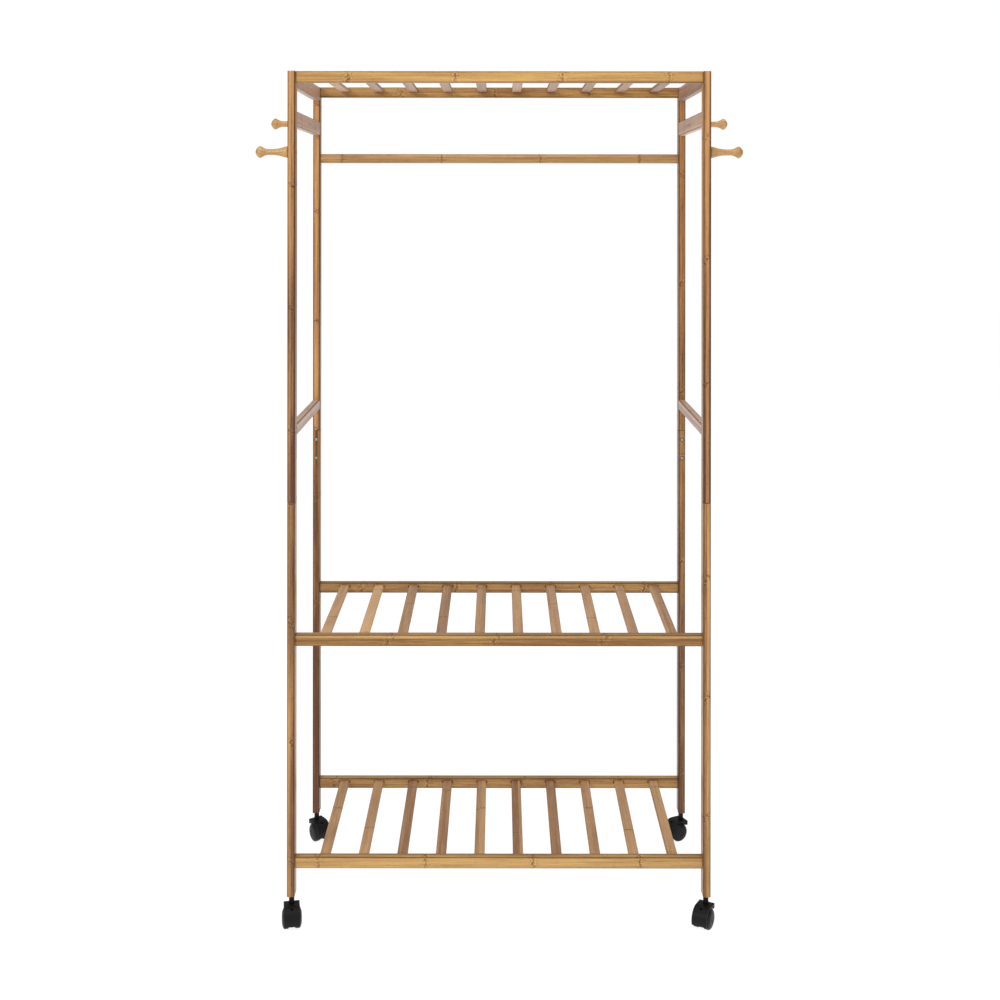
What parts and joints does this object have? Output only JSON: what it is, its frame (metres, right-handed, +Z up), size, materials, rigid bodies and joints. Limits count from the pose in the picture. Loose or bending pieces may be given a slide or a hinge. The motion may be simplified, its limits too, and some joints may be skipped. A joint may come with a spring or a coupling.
{
  "type": "rolling clothes rack",
  "caption": "Bamboo clothes rack on swivel casters, with slatted shelves, a hanging rod between the back posts and turned coat pegs on its side frames.",
  "frame": {"origin": "on the floor, at the middle of the box round the whole rack, 10.6 mm in front of the middle of the four posts", "axes": "+Z up, the front faces -Y, +X to the right as seen from the front"},
  "size_m": [0.936, 0.4256, 1.637],
  "materials": {
    "bamboo_upper_posts": "satin lacquer",
    "bamboo_lower_posts": "satin lacquer",
    "bamboo_rails": "satin lacquer",
    "turned_bamboo": "satin lacquer",
    "steel": "zinc plated",
    "black_steel": "black",
    "black_nylon": "moulded",
    "wheel_plastic": "moulded"
  },
  "bodies": {
    "root": {"front_left_upper_post": "bamboo_upper_posts", "front_left_lower_post": "bamboo_lower_posts", "front_left_lap_bolt_1": "steel", "front_left_lap_bolt_2": "steel", "back_left_upper_post": "bamboo_upper_posts", "back_left_lower_post": "bamboo_lower_posts", "back_left_lap_bolt_1": "steel", "back_left_lap_bolt_2": "steel", "left_top_side_rail": "bamboo_rails", "left_peg_side_rail": "bamboo_rails", "left_middle_side_rail": "bamboo_rails", "left_front_peg": "turned_bamboo", "left_front_peg_screw": "steel", "left_side_peg": "turned_bamboo", "left_side_peg_screw": "steel", "front_right_upper_post": "bamboo_upper_posts", "front_right_lower_post": "bamboo_lower_posts", "front_right_lap_bolt_1": "steel", "front_right_lap_bolt_2": "steel", "back_right_upper_post": "bamboo_upper_posts", "back_right_lower_post": "bamboo_lower_posts", "back_right_lap_bolt_1": "steel", "back_right_lap_bolt_2": "steel", "right_top_side_rail": "bamboo_rails", "right_peg_side_rail": "bamboo_rails", "right_middle_side_rail": "bamboo_rails", "right_front_peg": "turned_bamboo", "right_front_peg_screw": "steel", "right_side_peg": "turned_bamboo", "right_side_peg_screw": "steel", "top_front_shelf_rail": "bamboo_rails", "top_back_rail_and_slats": "bamboo_rails", "middle_front_shelf_rail": "bamboo_rails", "middle_back_rail_and_slats": "bamboo_rails", "bottom_front_shelf_rail": "bamboo_rails", "bottom_back_rail_and_slats": "bamboo_rails", "hanging_rod": "turned_bamboo", "front_left_caster_stem": "black_steel", "back_left_caster_stem": "black_steel", "front_right_caster_stem": "black_steel", "back_right_caster_stem": "black_steel"},
    "front_left_swivel": {"front_left_caster_hood": "black_nylon", "front_left_caster_axle": "steel"},
    "front_left_left_wheel": {"front_left_caster_left_wheel": "wheel_plastic"},
    "front_left_right_wheel": {"front_left_caster_right_wheel": "wheel_plastic"},
    "back_left_swivel": {"back_left_caster_hood": "black_nylon", "back_left_caster_axle": "steel"},
    "back_left_left_wheel": {"back_left_caster_left_wheel": "wheel_plastic"},
    "back_left_right_wheel": {"back_left_caster_right_wheel": "wheel_plastic"},
    "front_right_swivel": {"front_right_caster_hood": "black_nylon", "front_right_caster_axle": "steel"},
    "front_right_left_wheel": {"front_right_caster_left_wheel": "wheel_plastic"},
    "front_right_right_wheel": {"front_right_caster_right_wheel": "wheel_plastic"},
    "back_right_swivel": {"back_right_caster_hood": "black_nylon", "back_right_caster_axle": "steel"},
    "back_right_left_wheel": {"back_right_caster_left_wheel": "wheel_plastic"},
    "back_right_right_wheel": {"back_right_caster_right_wheel": "wheel_plastic"}
  },
  "joints": [
    {"name": "front_left_swivel", "type": "hinge", "parent": "root", "child": "front_left_swivel", "pos_m": [-0.3975, -0.1744, 0.042], "axis": [0, 0, 1], "continuous": true},
    {"name": "front_left_left_wheel_roll", "type": "hinge", "parent": "front_left_swivel", "child": "front_left_left_wheel", "pos_m": [-0.39524, -0.1872, 0.019], "axis": [0.9848, 0.1736, 0], "continuous": true},
    {"name": "front_left_right_wheel_roll", "type": "hinge", "parent": "front_left_swivel", "child": "front_left_right_wheel", "pos_m": [-0.39524, -0.1872, 0.019], "axis": [0.9848, 0.1736, 0], "continuous": true},
    {"name": "back_left_swivel", "type": "hinge", "parent": "root", "child": "back_left_swivel", "pos_m": [-0.3975, 0.1956, 0.042], "axis": [0, 0, 1], "continuous": true},
    {"name": "back_left_left_wheel_roll", "type": "hinge", "parent": "back_left_swivel", "child": "back_left_left_wheel", "pos_m": [-0.38986, 0.18508, 0.019], "axis": [0.809, 0.5878, 0], "continuous": true},
    {"name": "back_left_right_wheel_roll", "type": "hinge", "parent": "back_left_swivel", "child": "back_left_right_wheel", "pos_m": [-0.38986, 0.18508, 0.019], "axis": [0.809, 0.5878, 0], "continuous": true},
    {"name": "front_right_swivel", "type": "hinge", "parent": "root", "child": "front_right_swivel", "pos_m": [0.3975, -0.1744, 0.042], "axis": [0, 0, 1], "continuous": true},
    {"name": "front_right_left_wheel_roll", "type": "hinge", "parent": "front_right_swivel", "child": "front_right_left_wheel", "pos_m": [0.391, -0.18566, 0.019], "axis": [0.866, -0.5, 0], "continuous": true},
    {"name": "front_right_right_wheel_roll", "type": "hinge", "parent": "front_right_swivel", "child": "front_right_right_wheel", "pos_m": [0.391, -0.18566, 0.019], "axis": [0.866, -0.5, 0], "continuous": true},
    {"name": "back_right_swivel", "type": "hinge", "parent": "root", "child": "back_right_swivel", "pos_m": [0.3975, 0.1956, 0.042], "axis": [0, 0, 1], "continuous": true},
    {"name": "back_right_left_wheel_roll", "type": "hinge", "parent": "back_right_swivel", "child": "back_right_left_wheel", "pos_m": [0.38592, 0.1897, 0.019], "axis": [0.454, -0.891, 0], "continuous": true},
    {"name": "back_right_right_wheel_roll", "type": "hinge", "parent": "back_right_swivel", "child": "back_right_right_wheel", "pos_m": [0.38592, 0.1897, 0.019], "axis": [0.454, -0.891, 0], "continuous": true}
  ]
}
